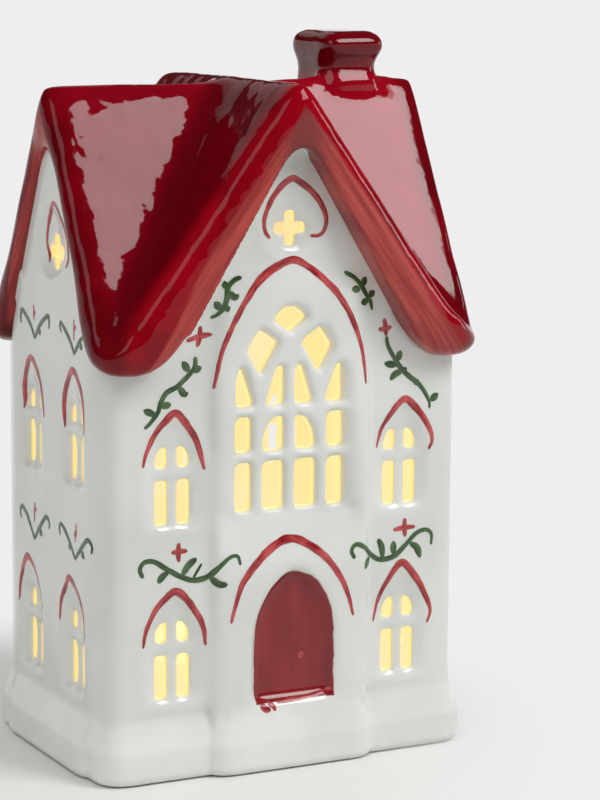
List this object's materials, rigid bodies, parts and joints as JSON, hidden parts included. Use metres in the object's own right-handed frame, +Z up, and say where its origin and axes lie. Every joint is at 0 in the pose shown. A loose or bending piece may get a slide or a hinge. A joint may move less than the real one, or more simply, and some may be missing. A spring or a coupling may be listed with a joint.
{
  "type": "light-up ceramic house figurine",
  "caption": "Glazed ceramic house ornament with a steep red gabled roof, a chimney and cut-out arched windows lit from inside by a battery lamp in the base.",
  "frame": {"origin": "centre of the house's footprint, on the table plane under its foot ring", "axes": "+Z up, -Y out of the front door, +X towards the chimney side"},
  "size_m": [0.139, 0.108, 0.2395],
  "materials": {
    "white_glaze": "clear-glazed white earthenware",
    "red_glaze": "glossy deep red glaze",
    "white_plastic": "moulded white plastic",
    "frosted_plastic": "frosted translucent plastic",
    "silicone": "soft silicone",
    "board": "white solder mask",
    "lamp_lens": "warm white epoxy lens",
    "steel": "plated steel",
    "cell_wrap": "printed film",
    "black_plastic": "moulded black plastic",
    "red_insulation": "wire insulation",
    "black_insulation": "wire insulation"
  },
  "bodies": {
    "house": {"wall_casting": "white_glaze", "roof_casting": "red_glaze", "chimney": "red_glaze", "lamp_housing": "white_plastic", "housing_top": "white_plastic", "diffuser": "frosted_plastic", "seal_ring": "silicone", "led_board": "board", "timer_chip": "black_plastic", "led_1": "lamp_lens", "led_2": "lamp_lens", "led_3": "lamp_lens", "led_4": "lamp_lens", "board_screw_1": "steel", "board_screw_2": "steel", "board_screw_3": "steel", "contact_plate_1": "steel", "contact_plate_2": "steel", "contact_plate_3": "steel", "contact_spring_1": "steel", "contact_spring_2": "steel", "contact_spring_3": "steel", "battery_1": "cell_wrap", "battery_2": "cell_wrap", "battery_3": "cell_wrap", "switch_body": "steel", "lead_positive": "red_insulation", "lead_negative": "black_insulation", "lead_switch": "black_insulation"},
    "switch": {"switch_slider": "black_plastic"},
    "cover": {"battery_cover": "white_plastic"},
    "screw": {"cover_screw": "steel"}
  },
  "joints": [
    {"name": "switch_slide", "type": "slide", "parent": "house", "child": "switch", "axis": [1, 0, 0], "range_m": [-0.003, 0.003]},
    {"name": "cover_lift", "type": "slide", "parent": "house", "child": "cover", "axis": [0, 0, -1], "range_m": [0, 0.03]},
    {"name": "cover_screw_turn", "type": "hinge", "parent": "cover", "child": "screw", "pos_m": [0.0301, 0, 0.004], "axis": [0, 0, 1], "continuous": true}
  ]
}
